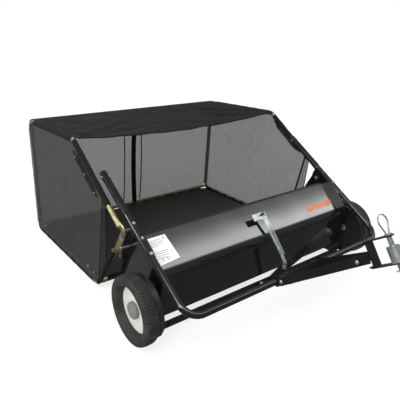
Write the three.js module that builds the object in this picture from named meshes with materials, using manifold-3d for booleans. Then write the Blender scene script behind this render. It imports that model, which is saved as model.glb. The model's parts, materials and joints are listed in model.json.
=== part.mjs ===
// Tow-behind lawn sweeper, parked on its two wheels and the rear edge of its hopper.
// Millimetres. X runs along the axle, -Y is forward (hitch end), +Z is up, and the ground is z = 0.

import * as THREE from 'three';
import { mergeVertices } from 'three/addons/utils/BufferGeometryUtils.js';
import Module from 'manifold-3d';

const wasm = await Module();
wasm.setup();

// ---- driving dimensions -------------------------------------------------------------------

const GAP = 0.3;                       // clearance between touching pieces
const RAD = Math.PI / 180;

const MIDDLE_Y = 243.2;                // middle of the whole machine, rearward of the axle
const WHEEL_RADIUS = 127;              // ten inch wheel
const TYRE_WIDTH = 52;
const WHEEL_X = 596;                   // middle of each tyre
const RIM_RADIUS = 86;
const AXLE_RADIUS = 8;
const AXLE_END = 594;

const PLATE = 3;                       // side plate thickness
const INNER_X = 506;                   // inner face of each side plate
const OUTER_X = INNER_X + PLATE;
const SHEET = 2;                       // hood and panel sheet thickness

const TUBE_RADIUS = 12.5;              // push tube
const ARM_X = OUTER_X + GAP + TUBE_RADIUS;
const ARM_LOW = [-207, 177];           // where the arms' centre lines meet the cross tube
const ARM_TOP = [347, 509];            // free ends of the arms
const SLEEVE_RADIUS = 14;              // upper arm
const SLEEVE_LENGTH = 210;
const SOCKET_DEPTH = 45;
const PLATE_ALONG_ARM = [266, 426];    // where the side plates meet the arms, from the cross tube

const GEAR_TEETH = 63;                 // ring gear inside each wheel
const PINION_TEETH = 9;
const GEAR_PITCH_RADIUS = 110.25;
const PINION_PITCH_RADIUS = GEAR_PITCH_RADIUS * PINION_TEETH / GEAR_TEETH;
const GEAR_X = 548;                    // inner face of the ring gear
const GEAR_WIDTH = 18;
const TOOTH_DEPTH = 2.8;

const BRUSH_RISE = 6;                  // brush axis above the wheel axis
const BRUSH_BACK = Math.sqrt((GEAR_PITCH_RADIUS - PINION_PITCH_RADIUS) ** 2 - BRUSH_RISE ** 2);
const BRUSH_AXIS = [BRUSH_BACK, WHEEL_RADIUS + BRUSH_RISE];
const BRUSH_RADIUS = 108;
const BRUSH_COUNT = 4;
const BRUSH_ROWS = 6;
const BRUSH_LENGTH = 238;
const SHAFT_RADIUS = 9;

const HOOD_REAR = [104, 346];
const HOOD_SHOULDER = [-28, 236];
const HOOD_SHOULDER_RADIUS = 45;
const HOOD_SEAM = [-22, 164];
const PANEL_FOOT = [-17, 97];
const PANEL_LIP = [-8, 58];
const RAIL_BOTTOM = 12;
const RAIL_TOP = 41;
const RAIL_FRONT = -22;
const RAIL_DEPTH = 12;                 // how far the rail's foot reaches back

const DUMP_PIVOT = [148, 351];         // hopper hinge on the side plates
const DUMP_PIN_RADIUS = 5;
const HOPPER_TUBE_RADIUS = 9.5;
const BRACKET_X = 540;                 // inner face of the hopper brackets
const BRACKET_THICKNESS = 4;
const HOPPER_X = BRACKET_X + BRACKET_THICKNESS + 0.5 + HOPPER_TUBE_RADIUS;
const FABRIC = 2;
const FABRIC_X = HOPPER_X + HOPPER_TUBE_RADIUS + 0.5;
const TOP_FRONT = [524, 598];
const TOP_REAR = [1036, 576];
const FLOOR_REAR = [1068, 13];
const FLOOR_FRONT = [372, 26];
const SKIRT_TOP = [250, 419];          // where the bag starts on the slanted tube
const SEAM_TOP = [270, 432];           // seam between the black skirt and the mesh
const SEAM_LOW = [352, 28];
const BRACKET_LENGTH = 210;
const STRAP_WIDTH = 26;                // webbing inside the rear mesh
const STRAP_THICKNESS = 3;
const STOP_STATION = 90;               // stop pin, measured down the bracket from the pivot

const DRAWBAR_PITCH = 35;              // degrees above level, as parked
const LEG_REAR_X = 125;
const LEG_FRONT_X = 22;
const LEG_HEIGHT = 31;
const LEG_THICKNESS = 6;
const HITCH_Y = -340;
const HITCH_PIN_Y = -414;
const HITCH_PIN_RADIUS = 8;
const STRAP_TOP = 46;                  // upper hitch strap's lower face, from the drawbar axis
const STRAP_LOW = -36;                 // lower hitch strap's upper face
const STRAP = 4;
const SPACER_RADIUS = 20;
const SPACER_HEIGHT = 52;
const HANDLE_RADIUS = 23;              // wire loop on top of the hitch pin

const LEVER_PIVOT = [-109, 137];
const QUADRANT_TOP = [36, 325];
const QUADRANT_WIDTH = 15;
const QUADRANT_WALL = 14;              // height of the wall beside the lever
const FLANGE_WIDTH = 60;               // the quadrant's wide upper end
const FLANGE_LENGTH = 28;
const LEVER_LEAN = 37;                 // degrees forward of upright
const LEVER_X = 37;
const LEVER_LENGTH = 168;
const GRIP_LENGTH = 122;

// ---- helpers ------------------------------------------------------------------------------

// A section drawn in (y, z) and extruded along X.
function alongX(shape, width, x = 0) {
  const geometry = new THREE.ExtrudeGeometry(shape, { depth: width, bevelEnabled: false, curveSegments: 10 });
  const turn = new THREE.Matrix4().set(0, 0, 1, x, 1, 0, 0, 0, 0, 1, 0, 0, 0, 0, 0, 1);
  return geometry.applyMatrix4(turn);
}

// An outline always runs counter-clockwise, which is what a shape with holes needs.
function outline(points) {
  const corners = points.map(([a, b]) => new THREE.Vector2(a, b));
  return new THREE.Shape(THREE.ShapeUtils.isClockWise(corners) ? corners.reverse() : corners);
}

function withHole(shape, [a, b], radius) {
  const hole = new THREE.Path();
  hole.absarc(a, b, radius, 0, 2 * Math.PI, true);
  shape.holes.push(hole);
  return shape;
}

// A polyline whose inner corners are replaced by arcs.
function rounded(points, radius, steps = 5) {
  const vectors = points.map((p) => new THREE.Vector3(p[0], p[1], p[2] ?? 0));
  const result = [vectors[0]];
  for (let i = 1; i < vectors.length - 1; i += 1) {
    const back = vectors[i - 1].clone().sub(vectors[i]).normalize();
    const forth = vectors[i + 1].clone().sub(vectors[i]).normalize();
    const half = back.angleTo(forth) / 2;
    const middle = back.clone().add(forth).normalize();
    const centre = vectors[i].clone().addScaledVector(middle, radius / Math.sin(half));
    const start = vectors[i].clone().addScaledVector(back, radius / Math.tan(half)).sub(centre);
    const side = middle.clone().negate();
    const across = start.clone().addScaledVector(side, -start.dot(side)).normalize();
    const sweep = Math.PI / 2 - half;
    for (let k = 0; k <= steps; k += 1) {
      const angle = sweep * (1 - 2 * k / steps);
      const spoke = side.clone().multiplyScalar(radius * Math.cos(angle));
      result.push(centre.clone().add(spoke).addScaledVector(across, radius * Math.sin(angle)));
    }
  }
  result.push(vectors[vectors.length - 1]);
  return result;
}

// A bent sheet seen edge on: the polyline and its copy, offset to the left by the thickness.
function strip(points, thickness) {
  const line = points.map((p) => new THREE.Vector2(p.x ?? p[0], p.y ?? p[1]));
  const normals = line.slice(1).map((p, i) => {
    const d = p.clone().sub(line[i]).normalize();
    return new THREE.Vector2(-d.y, d.x);
  });
  const offset = line.map((p, i) => {
    const before = normals[Math.max(i - 1, 0)];
    const after = normals[Math.min(i, normals.length - 1)];
    const mitre = before.clone().add(after).normalize();
    return p.clone().addScaledVector(mitre, thickness / mitre.dot(before));
  });
  return new THREE.Shape([...line, ...offset.reverse()]);
}

// A path made of exact stations, so that a swept tube has no needless rings.
class StationPath extends THREE.Curve {
  constructor(stations) {
    super();
    this.stations = stations;
  }

  getPoint(t) {
    return this.stations[Math.round(t * (this.stations.length - 1))].clone();
  }

  getPointAt(u) {
    return this.getPoint(u);
  }

  getTangentAt(u) {
    const last = this.stations.length - 1;
    const i = Math.round(u * last);
    const before = this.stations[Math.max(i - 1, 0)];
    const after = this.stations[Math.min(i + 1, last)];
    return after.clone().sub(before).normalize();
  }
}

function sweptTube(stations, radius, sides = 12) {
  const section = new THREE.Shape();
  for (let i = 0; i < sides; i += 1) {
    const angle = 2 * Math.PI * i / sides;
    const point = [radius * Math.cos(angle), radius * Math.sin(angle)];
    if (i === 0) section.moveTo(...point);
    else section.lineTo(...point);
  }
  section.closePath();
  const steps = stations.length - 1;
  return new THREE.ExtrudeGeometry(section, { steps, extrudePath: new StationPath(stations) });
}

// A turned piece: profile points are (radius, distance along the axis), and the axis becomes X.
function turnedX(profile, segments = 24) {
  const points = profile.map(([r, a]) => new THREE.Vector2(r, a));
  return new THREE.LatheGeometry(points, segments).rotateZ(-Math.PI / 2);
}

function ringProfile(inner, outer, from, to) {
  return [[inner, from], [outer, from], [outer, to], [inner, to], [inner, from]];
}

function rodX(radius, from, to, y = 0, z = 0, sides = 16) {
  const rod = new THREE.CylinderGeometry(radius, radius, to - from, sides);
  return rod.rotateZ(Math.PI / 2).translate((from + to) / 2, y, z);
}

function toManifold(geometry) {
  const bare = geometry.clone();
  bare.deleteAttribute('normal');
  bare.deleteAttribute('uv');
  const merged = mergeVertices(bare, 1e-3);
  const vertProperties = new Float32Array(merged.attributes.position.array);
  const triVerts = new Uint32Array(merged.index.array);
  return new wasm.Manifold(new wasm.Mesh({ numProp: 3, vertProperties, triVerts }));
}

function toGeometry(manifold) {
  const { vertProperties, triVerts } = manifold.getMesh();
  const geometry = new THREE.BufferGeometry();
  geometry.setAttribute('position', new THREE.BufferAttribute(vertProperties, 3));
  geometry.setIndex(new THREE.BufferAttribute(triVerts, 1));
  geometry.computeVertexNormals();
  return geometry;
}

function cut(geometry, ...tools) {
  return toGeometry(tools.reduce((body, tool) => body.subtract(toManifold(tool)), toManifold(geometry)));
}

function join(geometry, ...others) {
  return toGeometry(others.reduce((body, other) => body.add(toManifold(other)), toManifold(geometry)));
}

function paint(color, roughness, metalness) {
  return () => new THREE.MeshStandardMaterial({ color, roughness, metalness });
}

const glossBlack = paint(0x1a1b1b, 0.22, 0.3);
const satinBlack = paint(0x202122, 0.5, 0.3);
const zinc = paint(0xaab3b0, 0.35, 0.9);
const yellowZinc = paint(0xb8a46a, 0.35, 0.9);
const tyreRubber = paint(0x1d1d1d, 0.85, 0);
const rimPlastic = paint(0xd6d4c3, 0.5, 0);
const greyPlastic = paint(0x80817a, 0.5, 0);
const blackPlastic = paint(0x161616, 0.6, 0);
const bristle = paint(0x14140f, 0.8, 0);
const meshFabric = paint(0x3a3a3a, 0.9, 0);
const darkFabric = paint(0x232323, 0.9, 0);

function add(parent, name, geometry, material, place) {
  const mesh = new THREE.Mesh(geometry, material());
  mesh.name = name;
  if (place) mesh.position.set(...place);
  parent.add(mesh);
  return mesh;
}

function group(parent, place = [0, 0, 0]) {
  const made = new THREE.Group();
  made.position.set(...place);
  parent.add(made);
  return made;
}

const SIDES = [['left', -1], ['right', 1]];

// Where a plate that is `width` thick starts in X when its inner face is at +-inner.
function startX(sign, inner, width) {
  return sign > 0 ? inner : -inner - width;
}

function unit(from, to) {
  const length = Math.hypot(to[0] - from[0], to[1] - from[1]);
  return [(to[0] - from[0]) / length, (to[1] - from[1]) / length];
}

function ahead(from, direction, distance, sideways = 0) {
  const [a, b] = direction;
  return [from[0] + a * distance - b * sideways, from[1] + b * distance + a * sideways];
}

const armDirection = unit(ARM_LOW, ARM_TOP);
const armLength = Math.hypot(ARM_TOP[0] - ARM_LOW[0], ARM_TOP[1] - ARM_LOW[1]);
const slantDirection = unit(DUMP_PIVOT, TOP_FRONT);
const bracketDirection = unit(DUMP_PIVOT, FLOOR_FRONT);
const stopPoint = ahead(DUMP_PIVOT, bracketDirection, STOP_STATION, -(14 + DUMP_PIN_RADIUS + 0.4));

// ---- housing ------------------------------------------------------------------------------

function sidePlateOutline() {
  const top = ahead(ARM_LOW, armDirection, PLATE_ALONG_ARM[1], 6);
  const low = ahead(ARM_LOW, armDirection, PLATE_ALONG_ARM[0], 6);
  const shape = outline([
    [-26, 8], [-30, 150], [-40, 224], [-30, 262], low, top,
    [170, 378], [178, 350], [206, 298], [234, 228], [238, 170], [262, 110], [318, 60], [318, 8],
  ]);
  withHole(shape, [0, WHEEL_RADIUS], AXLE_RADIUS + GAP);
  withHole(shape, BRUSH_AXIS, SHAFT_RADIUS + GAP);
  withHole(shape, DUMP_PIVOT, DUMP_PIN_RADIUS + GAP);
  withHole(shape, stopPoint, DUMP_PIN_RADIUS + GAP);
  return shape;
}

function addSidePlates(root) {
  for (const [side, sign] of SIDES) {
    const plate = alongX(sidePlateOutline(), PLATE, startX(sign, INNER_X, PLATE));
    add(root, `${side}_side_plate`, plate, glossBlack);
  }
}

function addHood(root) {
  const width = 2 * (INNER_X - GAP);
  const rearHem = [HOOD_REAR[0] + 9, HOOD_REAR[1] - 11];
  const bend = rounded([HOOD_REAR, HOOD_SHOULDER, HOOD_SEAM], HOOD_SHOULDER_RADIUS, 8);
  const hood = strip([rearHem, ...bend], SHEET);
  add(root, 'hood', alongX(hood, width, -width / 2), glossBlack);

  const tuck = SHEET + 0.6;
  const panelTop = [HOOD_SEAM[0] + tuck - 1, HOOD_SEAM[1] + 14];
  const panelLow = [PANEL_FOOT[0] + tuck, PANEL_FOOT[1]];
  const panel = strip([panelTop, panelLow, PANEL_LIP], SHEET);
  add(root, 'front_panel', alongX(panel, width, -width / 2), glossBlack);

  const railInner = [RAIL_FRONT + PLATE, RAIL_BOTTOM + PLATE];
  const rail = strip([[railInner[0], RAIL_TOP], railInner, [RAIL_DEPTH, railInner[1]]], -PLATE);
  add(root, 'front_rail', alongX(rail, width, -width / 2), satinBlack);

  const ramp = strip([[212, 14], [250, 34], [308, 44]], SHEET);
  add(root, 'rear_ramp', alongX(ramp, width, -width / 2), satinBlack);
}

function addAxles(root) {
  for (const [side, sign] of SIDES) {
    const profile = [
      [0, INNER_X - 9], [13, INNER_X - 9], [13, INNER_X - GAP],
      [AXLE_RADIUS, INNER_X - GAP], [AXLE_RADIUS, AXLE_END], [0, AXLE_END],
    ];
    const axle = turnedX(profile, 20);
    const mesh = add(root, `${side}_axle`, axle, zinc, [0, 0, WHEEL_RADIUS]);
    mesh.rotation.y = sign > 0 ? 0 : Math.PI;
  }
}

// ---- push tube and its arms ---------------------------------------------------------------

function addPushTube(root) {
  const end = ahead(ARM_LOW, armDirection, armLength - SLEEVE_LENGTH + SOCKET_DEPTH - 1);
  const corners = [
    [-ARM_X, ...end], [-ARM_X, ...ARM_LOW], [ARM_X, ...ARM_LOW], [ARM_X, ...end],
  ];
  add(root, 'push_tube', sweptTube(rounded(corners, 62, 7), TUBE_RADIUS, 14), glossBlack);
}

function addUpperArms(root) {
  const length = SLEEVE_LENGTH;
  const profile = [
    [0, SOCKET_DEPTH], [TUBE_RADIUS + GAP, SOCKET_DEPTH], [TUBE_RADIUS + GAP, 0], [SLEEVE_RADIUS, 0],
    [SLEEVE_RADIUS, length - 5], [SLEEVE_RADIUS - 4, length], [0, length],
  ];
  const start = ahead(ARM_LOW, armDirection, armLength - length);
  const lean = Math.atan2(armDirection[1], armDirection[0]);
  for (const [side, sign] of SIDES) {
    const sleeve = new THREE.LatheGeometry(profile.map(([r, a]) => new THREE.Vector2(r, a)), 20);
    const hole = rodX(4 + GAP, -20, 20, length - 25, 0, 12);
    const arm = add(root, `${side}_upper_arm`, cut(sleeve, hole), satinBlack);
    arm.position.set(sign * ARM_X, ...start);
    arm.rotation.x = lean;
    const pin = turnedX([[0, -18], [4, -18], [4, 15], [7, 15], [7, 18.5], [0, 18.5]], 12);
    const pinMesh = add(root, `${side}_arm_pin`, pin, zinc);
    pinMesh.position.set(sign * ARM_X, ...ahead(ARM_TOP, armDirection, -25));
    pinMesh.rotation.y = sign > 0 ? 0 : Math.PI;
  }
}

// ---- height adjuster ----------------------------------------------------------------------

// A wall that stands on the quadrant's bar, with sloping ends.
function wallAlong(from, to, direction, height) {
  return outline([from, to, ahead(to, direction, -4, height), ahead(from, direction, 6, height)]);
}

function addAdjuster(root) {
  const [py, pz] = LEVER_PIVOT;
  const arm = outline([
    [-26, 14], [-26, 44], [py + 14, pz + 12], [py, pz + 16], [py - 14, pz + 8], [py - 12, pz - 12],
  ]);
  withHole(arm, LEVER_PIVOT, 5 + GAP);
  const foot = outline([[-28, 14], [-28, 40], [RAIL_FRONT - GAP, 40], [RAIL_FRONT - GAP, 14]]);
  const bracket = join(alongX(arm, 5, LEVER_X - 6), alongX(foot, 92, -26));
  add(root, 'adjuster_bracket', bracket, satinBlack);

  const path = [[py - 10, pz + 20], [py + 2, pz + 38], QUADRANT_TOP];
  const direction = unit(path[1], path[2]);
  const bar = alongX(strip(path, 3), QUADRANT_WIDTH, LEVER_X - 11 - QUADRANT_WIDTH);
  const slot = new THREE.BoxGeometry(5, 104, 14);
  slot.rotateX(Math.atan2(direction[1], direction[0]));
  slot.translate(LEVER_X - 18.5, ...ahead(path[1], direction, 70));
  const ear = outline([
    [py - 11, pz - 6], [py, pz - 11], [py + 11, pz - 4], [py + 9, pz + 42], [py - 12, pz + 24],
  ]);
  withHole(ear, LEVER_PIVOT, 5 + GAP);
  const wallFoot = ahead(path[1], direction, 12, 1);
  const rightWall = wallAlong(wallFoot, ahead(path[2], direction, -1, 1), direction, QUADRANT_WALL);
  const leftWall = wallAlong(wallFoot, ahead(path[1], direction, 124, 1), direction, 7);
  const flange = strip([ahead(path[2], direction, -FLANGE_LENGTH), path[2]], 3);
  const quadrant = join(
    cut(bar, slot), alongX(ear, 3, LEVER_X - 11), alongX(rightWall, 3, LEVER_X - 14),
    alongX(leftWall, 3, LEVER_X - 11 - QUADRANT_WIDTH),
    alongX(flange, FLANGE_WIDTH, LEVER_X - 11 - FLANGE_WIDTH),
  );
  add(root, 'height_quadrant', quadrant, zinc);

  const bolt = turnedX([
    [0, -15], [8, -15], [8, -11.3], [5, -11.3], [5, 6.3], [8, 6.3], [8, 10], [0, 10],
  ], 14);
  add(root, 'lever_pivot_bolt', bolt, zinc, [LEVER_X, ...LEVER_PIVOT]);
}

function addLever(root) {
  const lever = group(root, [LEVER_X, ...LEVER_PIVOT]);
  lever.rotation.x = LEVER_LEAN * RAD;
  const shape = new THREE.Shape();
  shape.absarc(0, 0, 13, Math.PI, 2 * Math.PI, false);
  shape.lineTo(13, LEVER_LENGTH);
  shape.lineTo(-13, LEVER_LENGTH);
  shape.closePath();
  withHole(shape, [0, 0], 5 + GAP);
  add(lever, 'height_lever', alongX(shape, 5, GAP), satinBlack);

  const section = new THREE.Shape();
  section.absellipse(0, 0, 12, 16, 0, 2 * Math.PI, false);
  const grip = new THREE.ExtrudeGeometry(section, {
    depth: GRIP_LENGTH - 8, curveSegments: 8,
    bevelEnabled: true, bevelThickness: 4, bevelSize: 4, bevelOffset: -4, bevelSegments: 2,
  });
  add(lever, 'lever_grip', grip, blackPlastic, [3, 0, LEVER_LENGTH + 4 + GAP]);
}

// ---- wheels -------------------------------------------------------------------------------

function toothedPath(teeth, root, tip, PathType) {
  const path = new PathType();
  const pitch = 2 * Math.PI / teeth;
  for (let i = 0; i < teeth; i += 1) {
    [[root, -0.3], [tip, -0.14], [tip, 0.14], [root, 0.3]].forEach(([radius, place], k) => {
      const angle = pitch * (i + place);
      const point = [radius * Math.cos(angle), radius * Math.sin(angle)];
      if (i === 0 && k === 0) path.moveTo(...point);
      else path.lineTo(...point);
    });
  }
  path.closePath();
  return path;
}

function ringGear() {
  const shape = new THREE.Shape();
  shape.absarc(0, 0, GEAR_PITCH_RADIUS + TOOTH_DEPTH + 3, 0, 2 * Math.PI, false);
  const tip = GEAR_PITCH_RADIUS + GAP / 2;
  shape.holes.push(toothedPath(GEAR_TEETH, tip + TOOTH_DEPTH, tip, THREE.Path));
  const ring = alongX(shape, GEAR_WIDTH, GEAR_X - WHEEL_X);
  const web = turnedX(ringProfile(AXLE_RADIUS + 8, GEAR_PITCH_RADIUS + 5, -30.5, -27.5), 40);
  return join(ring, web);
}

function addWheel(root, side, sign) {
  const wheel = group(root, [sign * WHEEL_X, 0, WHEEL_RADIUS]);
  wheel.rotation.y = sign > 0 ? 0 : Math.PI;
  const half = TYRE_WIDTH / 2;
  const tyre = [
    [RIM_RADIUS, -20], [RIM_RADIUS + 8, -23], [104, -half], [119, -half + 1], [125, -half + 5],
    [WHEEL_RADIUS, -14], [WHEEL_RADIUS, 14], [125, half - 5], [119, half - 1], [108, half],
    [RIM_RADIUS + 10, 23], [RIM_RADIUS + 5, 18], [RIM_RADIUS, -2], [RIM_RADIUS, -20],
  ];
  add(wheel, `${side}_tyre`, turnedX(tyre, 48), tyreRubber);
  const edge = RIM_RADIUS - GAP;
  const bore = AXLE_RADIUS + GAP;
  const rim = [
    [bore, -24], [22, -24], [22, -8], [74, -8], [76, -20], [edge, -20], [edge, -3], [78, -2],
    [40, -4], [36, -2], [bore, -2], [bore, -24],
  ];
  add(wheel, `${side}_rim`, turnedX(rim, 40), rimPlastic);
  add(wheel, `${side}_ring_gear`, ringGear(), blackPlastic);
  const cap = [[0, GAP - 2], [31, GAP - 2], [31, 10], [28, 13], [0, 14]];
  add(wheel, `${side}_hub_cap`, turnedX(cap, 28), greyPlastic);
}

// ---- brush --------------------------------------------------------------------------------

function brushSection() {
  const shape = new THREE.Shape();
  const hub = 24;
  const half = 1.6;
  for (let i = 0; i < BRUSH_ROWS; i += 1) {
    const angle = 2 * Math.PI * i / BRUSH_ROWS;
    const out = [Math.cos(angle), Math.sin(angle)];
    const corners = [[hub, -half], [BRUSH_RADIUS, -half], [BRUSH_RADIUS, half], [hub, half]];
    corners.forEach(([along, side], k) => {
      const point = [out[0] * along - out[1] * side, out[1] * along + out[0] * side];
      if (i === 0 && k === 0) shape.moveTo(...point);
      else shape.lineTo(...point);
    });
  }
  shape.closePath();
  return withHole(shape, [0, 0], SHAFT_RADIUS + GAP);
}

function addBrush(root) {
  const brush = group(root, [0, ...BRUSH_AXIS]);
  const end = GEAR_X + GEAR_WIDTH - 4;
  add(brush, 'brush_shaft', rodX(SHAFT_RADIUS, -end, end), zinc);
  const pitch = 2 * (INNER_X - 8) / BRUSH_COUNT;
  for (let i = 0; i < BRUSH_COUNT; i += 1) {
    const start = -INNER_X + 8 + pitch * i + (pitch - BRUSH_LENGTH) / 2;
    const section = add(brush, `brush_${i + 1}`, alongX(brushSection(), BRUSH_LENGTH, start), bristle);
    section.rotation.x = i * Math.PI / (BRUSH_ROWS * 2);
  }
  const tip = PINION_PITCH_RADIUS - GAP / 2;
  for (const [side, sign] of SIDES) {
    const shape = toothedPath(PINION_TEETH, tip - TOOTH_DEPTH, tip, THREE.Shape);
    withHole(shape, [0, 0], SHAFT_RADIUS + GAP);
    const pinion = alongX(shape, GEAR_WIDTH - 6, startX(sign, GEAR_X + 1, GEAR_WIDTH - 6));
    add(brush, `${side}_pinion`, pinion, zinc);
  }
}

// ---- hopper -------------------------------------------------------------------------------

function addHopperFrame(root) {
  const start = ahead(DUMP_PIVOT, slantDirection, 20);
  const finish = ahead(DUMP_PIVOT, bracketDirection, 130);
  for (const [side, sign] of SIDES) {
    const x = sign * HOPPER_X;
    const corners = [start, TOP_FRONT, TOP_REAR, FLOOR_REAR, FLOOR_FRONT, finish].map(([y, z]) => [x, y, z]);
    add(root, `${side}_hopper_frame`, sweptTube(rounded(corners, 34, 4), HOPPER_TUBE_RADIUS, 10), yellowZinc);
  }
  const reach = HOPPER_X - HOPPER_TUBE_RADIUS - GAP - 0.6;
  const inset = 9;
  const bars = {
    top_rear_tube: [TOP_REAR[0] - inset, TOP_REAR[1] - inset],
    floor_rear_tube: [FLOOR_REAR[0] - inset, FLOOR_REAR[1] + inset],
    floor_front_tube: [FLOOR_FRONT[0] + 4, FLOOR_FRONT[1] + 5],
  };
  for (const [name, [y, z]] of Object.entries(bars)) {
    add(root, name, rodX(HOPPER_TUBE_RADIUS - 1, -reach, reach, 0, 0, 12), yellowZinc, [0, y, z]);
  }
  const top = bars.top_rear_tube;
  const low = bars.floor_rear_tube;
  const direction = unit(low, top);
  const from = ahead(low, direction, HOPPER_TUBE_RADIUS);
  const to = ahead(top, direction, -HOPPER_TUBE_RADIUS);
  const strap = alongX(strip([from, to], STRAP_THICKNESS), STRAP_WIDTH, -STRAP_WIDTH / 2);
  add(root, 'rear_strap', strap, darkFabric);
}

function addHopperBrackets(root) {
  const upper = ahead(DUMP_PIVOT, slantDirection, 74);
  const foot = ahead(DUMP_PIVOT, bracketDirection, BRACKET_LENGTH);
  for (const [side, sign] of SIDES) {
    const shape = outline([
      ahead(DUMP_PIVOT, bracketDirection, -4, -14), ahead(foot, bracketDirection, 0, -9),
      ahead(foot, bracketDirection, 0, 9), ahead(DUMP_PIVOT, bracketDirection, 26, 14),
      ahead(upper, slantDirection, 0, -13), ahead(upper, slantDirection, 0, 9),
      ahead(DUMP_PIVOT, slantDirection, -6, 14),
    ]);
    withHole(shape, DUMP_PIVOT, DUMP_PIN_RADIUS + 0.4);
    const x = startX(sign, BRACKET_X, BRACKET_THICKNESS);
    add(root, `${side}_hopper_bracket`, alongX(shape, BRACKET_THICKNESS, x), yellowZinc);
  }
}

function addDumpPins(root) {
  const inner = INNER_X - GAP;
  const pins = [['dump_pin', DUMP_PIVOT, BRACKET_X + 11], ['stop_pin', stopPoint, BRACKET_X + 6]];
  for (const [side, sign] of SIDES) {
    for (const [name, spot, end] of pins) {
      const profile = [
        [0, inner - 4], [9, inner - 4], [9, inner],
        [DUMP_PIN_RADIUS, inner], [DUMP_PIN_RADIUS, end], [0, end],
      ];
      const pin = add(root, `${side}_${name}`, turnedX(profile, 14), zinc, [0, ...spot]);
      pin.rotation.y = sign > 0 ? 0 : Math.PI;
    }
  }
}

function addHopperFabric(root) {
  const clear = HOPPER_TUBE_RADIUS + 0.5;
  const skirtLow = ahead(DUMP_PIVOT, bracketDirection, BRACKET_LENGTH);
  for (const [side, sign] of SIDES) {
    const x = startX(sign, FABRIC_X, FABRIC);
    const panel = outline([
      [SEAM_TOP[0] + 2 * GAP, SEAM_TOP[1]], TOP_FRONT, TOP_REAR, FLOOR_REAR, FLOOR_FRONT,
      [SEAM_LOW[0] + 2 * GAP, SEAM_LOW[1]],
    ]);
    add(root, `${side}_mesh`, alongX(panel, FABRIC, x), meshFabric);
    const skirt = outline([SKIRT_TOP, SEAM_TOP, SEAM_LOW, skirtLow]);
    add(root, `${side}_skirt`, alongX(skirt, FABRIC, x), darkFabric);
  }
  const half = FABRIC_X + FABRIC;
  const panels = [
    ['rear_mesh', [TOP_REAR[0] + clear, TOP_REAR[1] + 4],
      [FLOOR_REAR[0] + clear, FLOOR_REAR[1] - 8], meshFabric],
    ['hopper_floor', [FLOOR_REAR[0] + 8, FLOOR_REAR[1] - clear - GAP],
      [FLOOR_FRONT[0] - 6, FLOOR_FRONT[1] - clear], darkFabric],
    ['top_cover', [TOP_FRONT[0] - 6, TOP_FRONT[1] + clear + 1],
      [TOP_REAR[0] + 8, TOP_REAR[1] + clear + 1], darkFabric],
  ];
  for (const [name, from, to, material] of panels) {
    add(root, name, alongX(strip([from, to], FABRIC), 2 * half, -half), material);
  }
}

// ---- drawbar and hitch --------------------------------------------------------------------

function drawbarLeg(sign) {
  const eye = new THREE.Shape();
  eye.absarc(0, 0, 21, 0, 2 * Math.PI, false);
  withHole(eye, [0, 0], TUBE_RADIUS + GAP);
  const ring = alongX(eye, LEG_THICKNESS, sign * LEG_REAR_X - LEG_THICKNESS / 2);
  const from = new THREE.Vector2(sign * LEG_REAR_X, -17);
  const to = new THREE.Vector2(sign * LEG_FRONT_X, HITCH_Y + 6);
  const run = to.clone().sub(from);
  const bar = new THREE.BoxGeometry(LEG_THICKNESS, run.length(), LEG_HEIGHT);
  bar.rotateZ(Math.atan2(-run.x, run.y));
  bar.translate((from.x + to.x) / 2, (from.y + to.y) / 2, -5);
  const neck = new THREE.BoxGeometry(LEG_THICKNESS, 14, LEG_HEIGHT);
  neck.translate(sign * LEG_REAR_X, -21, -5);
  return join(ring, neck, bar);
}

function strapPlate(z) {
  const shape = new THREE.Shape();
  shape.moveTo(-17, HITCH_Y + 14);
  shape.lineTo(-17, HITCH_PIN_Y);
  shape.absarc(0, HITCH_PIN_Y, 17, Math.PI, 2 * Math.PI, false);
  shape.lineTo(17, HITCH_Y + 14);
  shape.closePath();
  withHole(shape, [0, HITCH_PIN_Y], HITCH_PIN_RADIUS + GAP);
  const plate = new THREE.ExtrudeGeometry(shape, { depth: STRAP, bevelEnabled: false, curveSegments: 12 });
  return plate.translate(0, 0, z);
}

function hitchPin() {
  const top = STRAP_TOP + STRAP + GAP;
  const profile = [
    [0, STRAP_LOW - STRAP - 34], [6, STRAP_LOW - STRAP - 34], [HITCH_PIN_RADIUS, STRAP_LOW - STRAP - 30],
    [HITCH_PIN_RADIUS, top], [13, top], [13, top + 4], [0, top + 4],
  ];
  const shank = new THREE.LatheGeometry(profile.map(([r, a]) => new THREE.Vector2(r, a)), 20);
  shank.rotateX(Math.PI / 2);
  const loop = [];
  for (let i = 0; i <= 14; i += 1) {
    const angle = Math.PI * (-0.15 + 1.3 * i / 14);
    const rise = HANDLE_RADIUS * Math.sin(angle);
    loop.push(new THREE.Vector3(HANDLE_RADIUS * Math.cos(angle), 0, top + 44 + rise));
  }
  loop.unshift(new THREE.Vector3(6, 0, top + 2));
  loop.push(new THREE.Vector3(-6, 0, top + 2));
  const handle = sweptTube(loop, 2.6, 8);
  const crossHole = rodX(2.2, -20, 20, 0, STRAP_LOW - STRAP - 22, 8);
  return cut(join(shank, handle), crossHole);
}

function hairpin() {
  const z = STRAP_LOW - STRAP - 22;
  const path = [[-16, 0], [26, 0], [33, 5], [26, 11.5], [8, 11.5], [-12, 13]];
  return sweptTube(rounded(path.map(([x, y]) => [x, y, z]), 3, 2), 1.6, 6);
}

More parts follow.
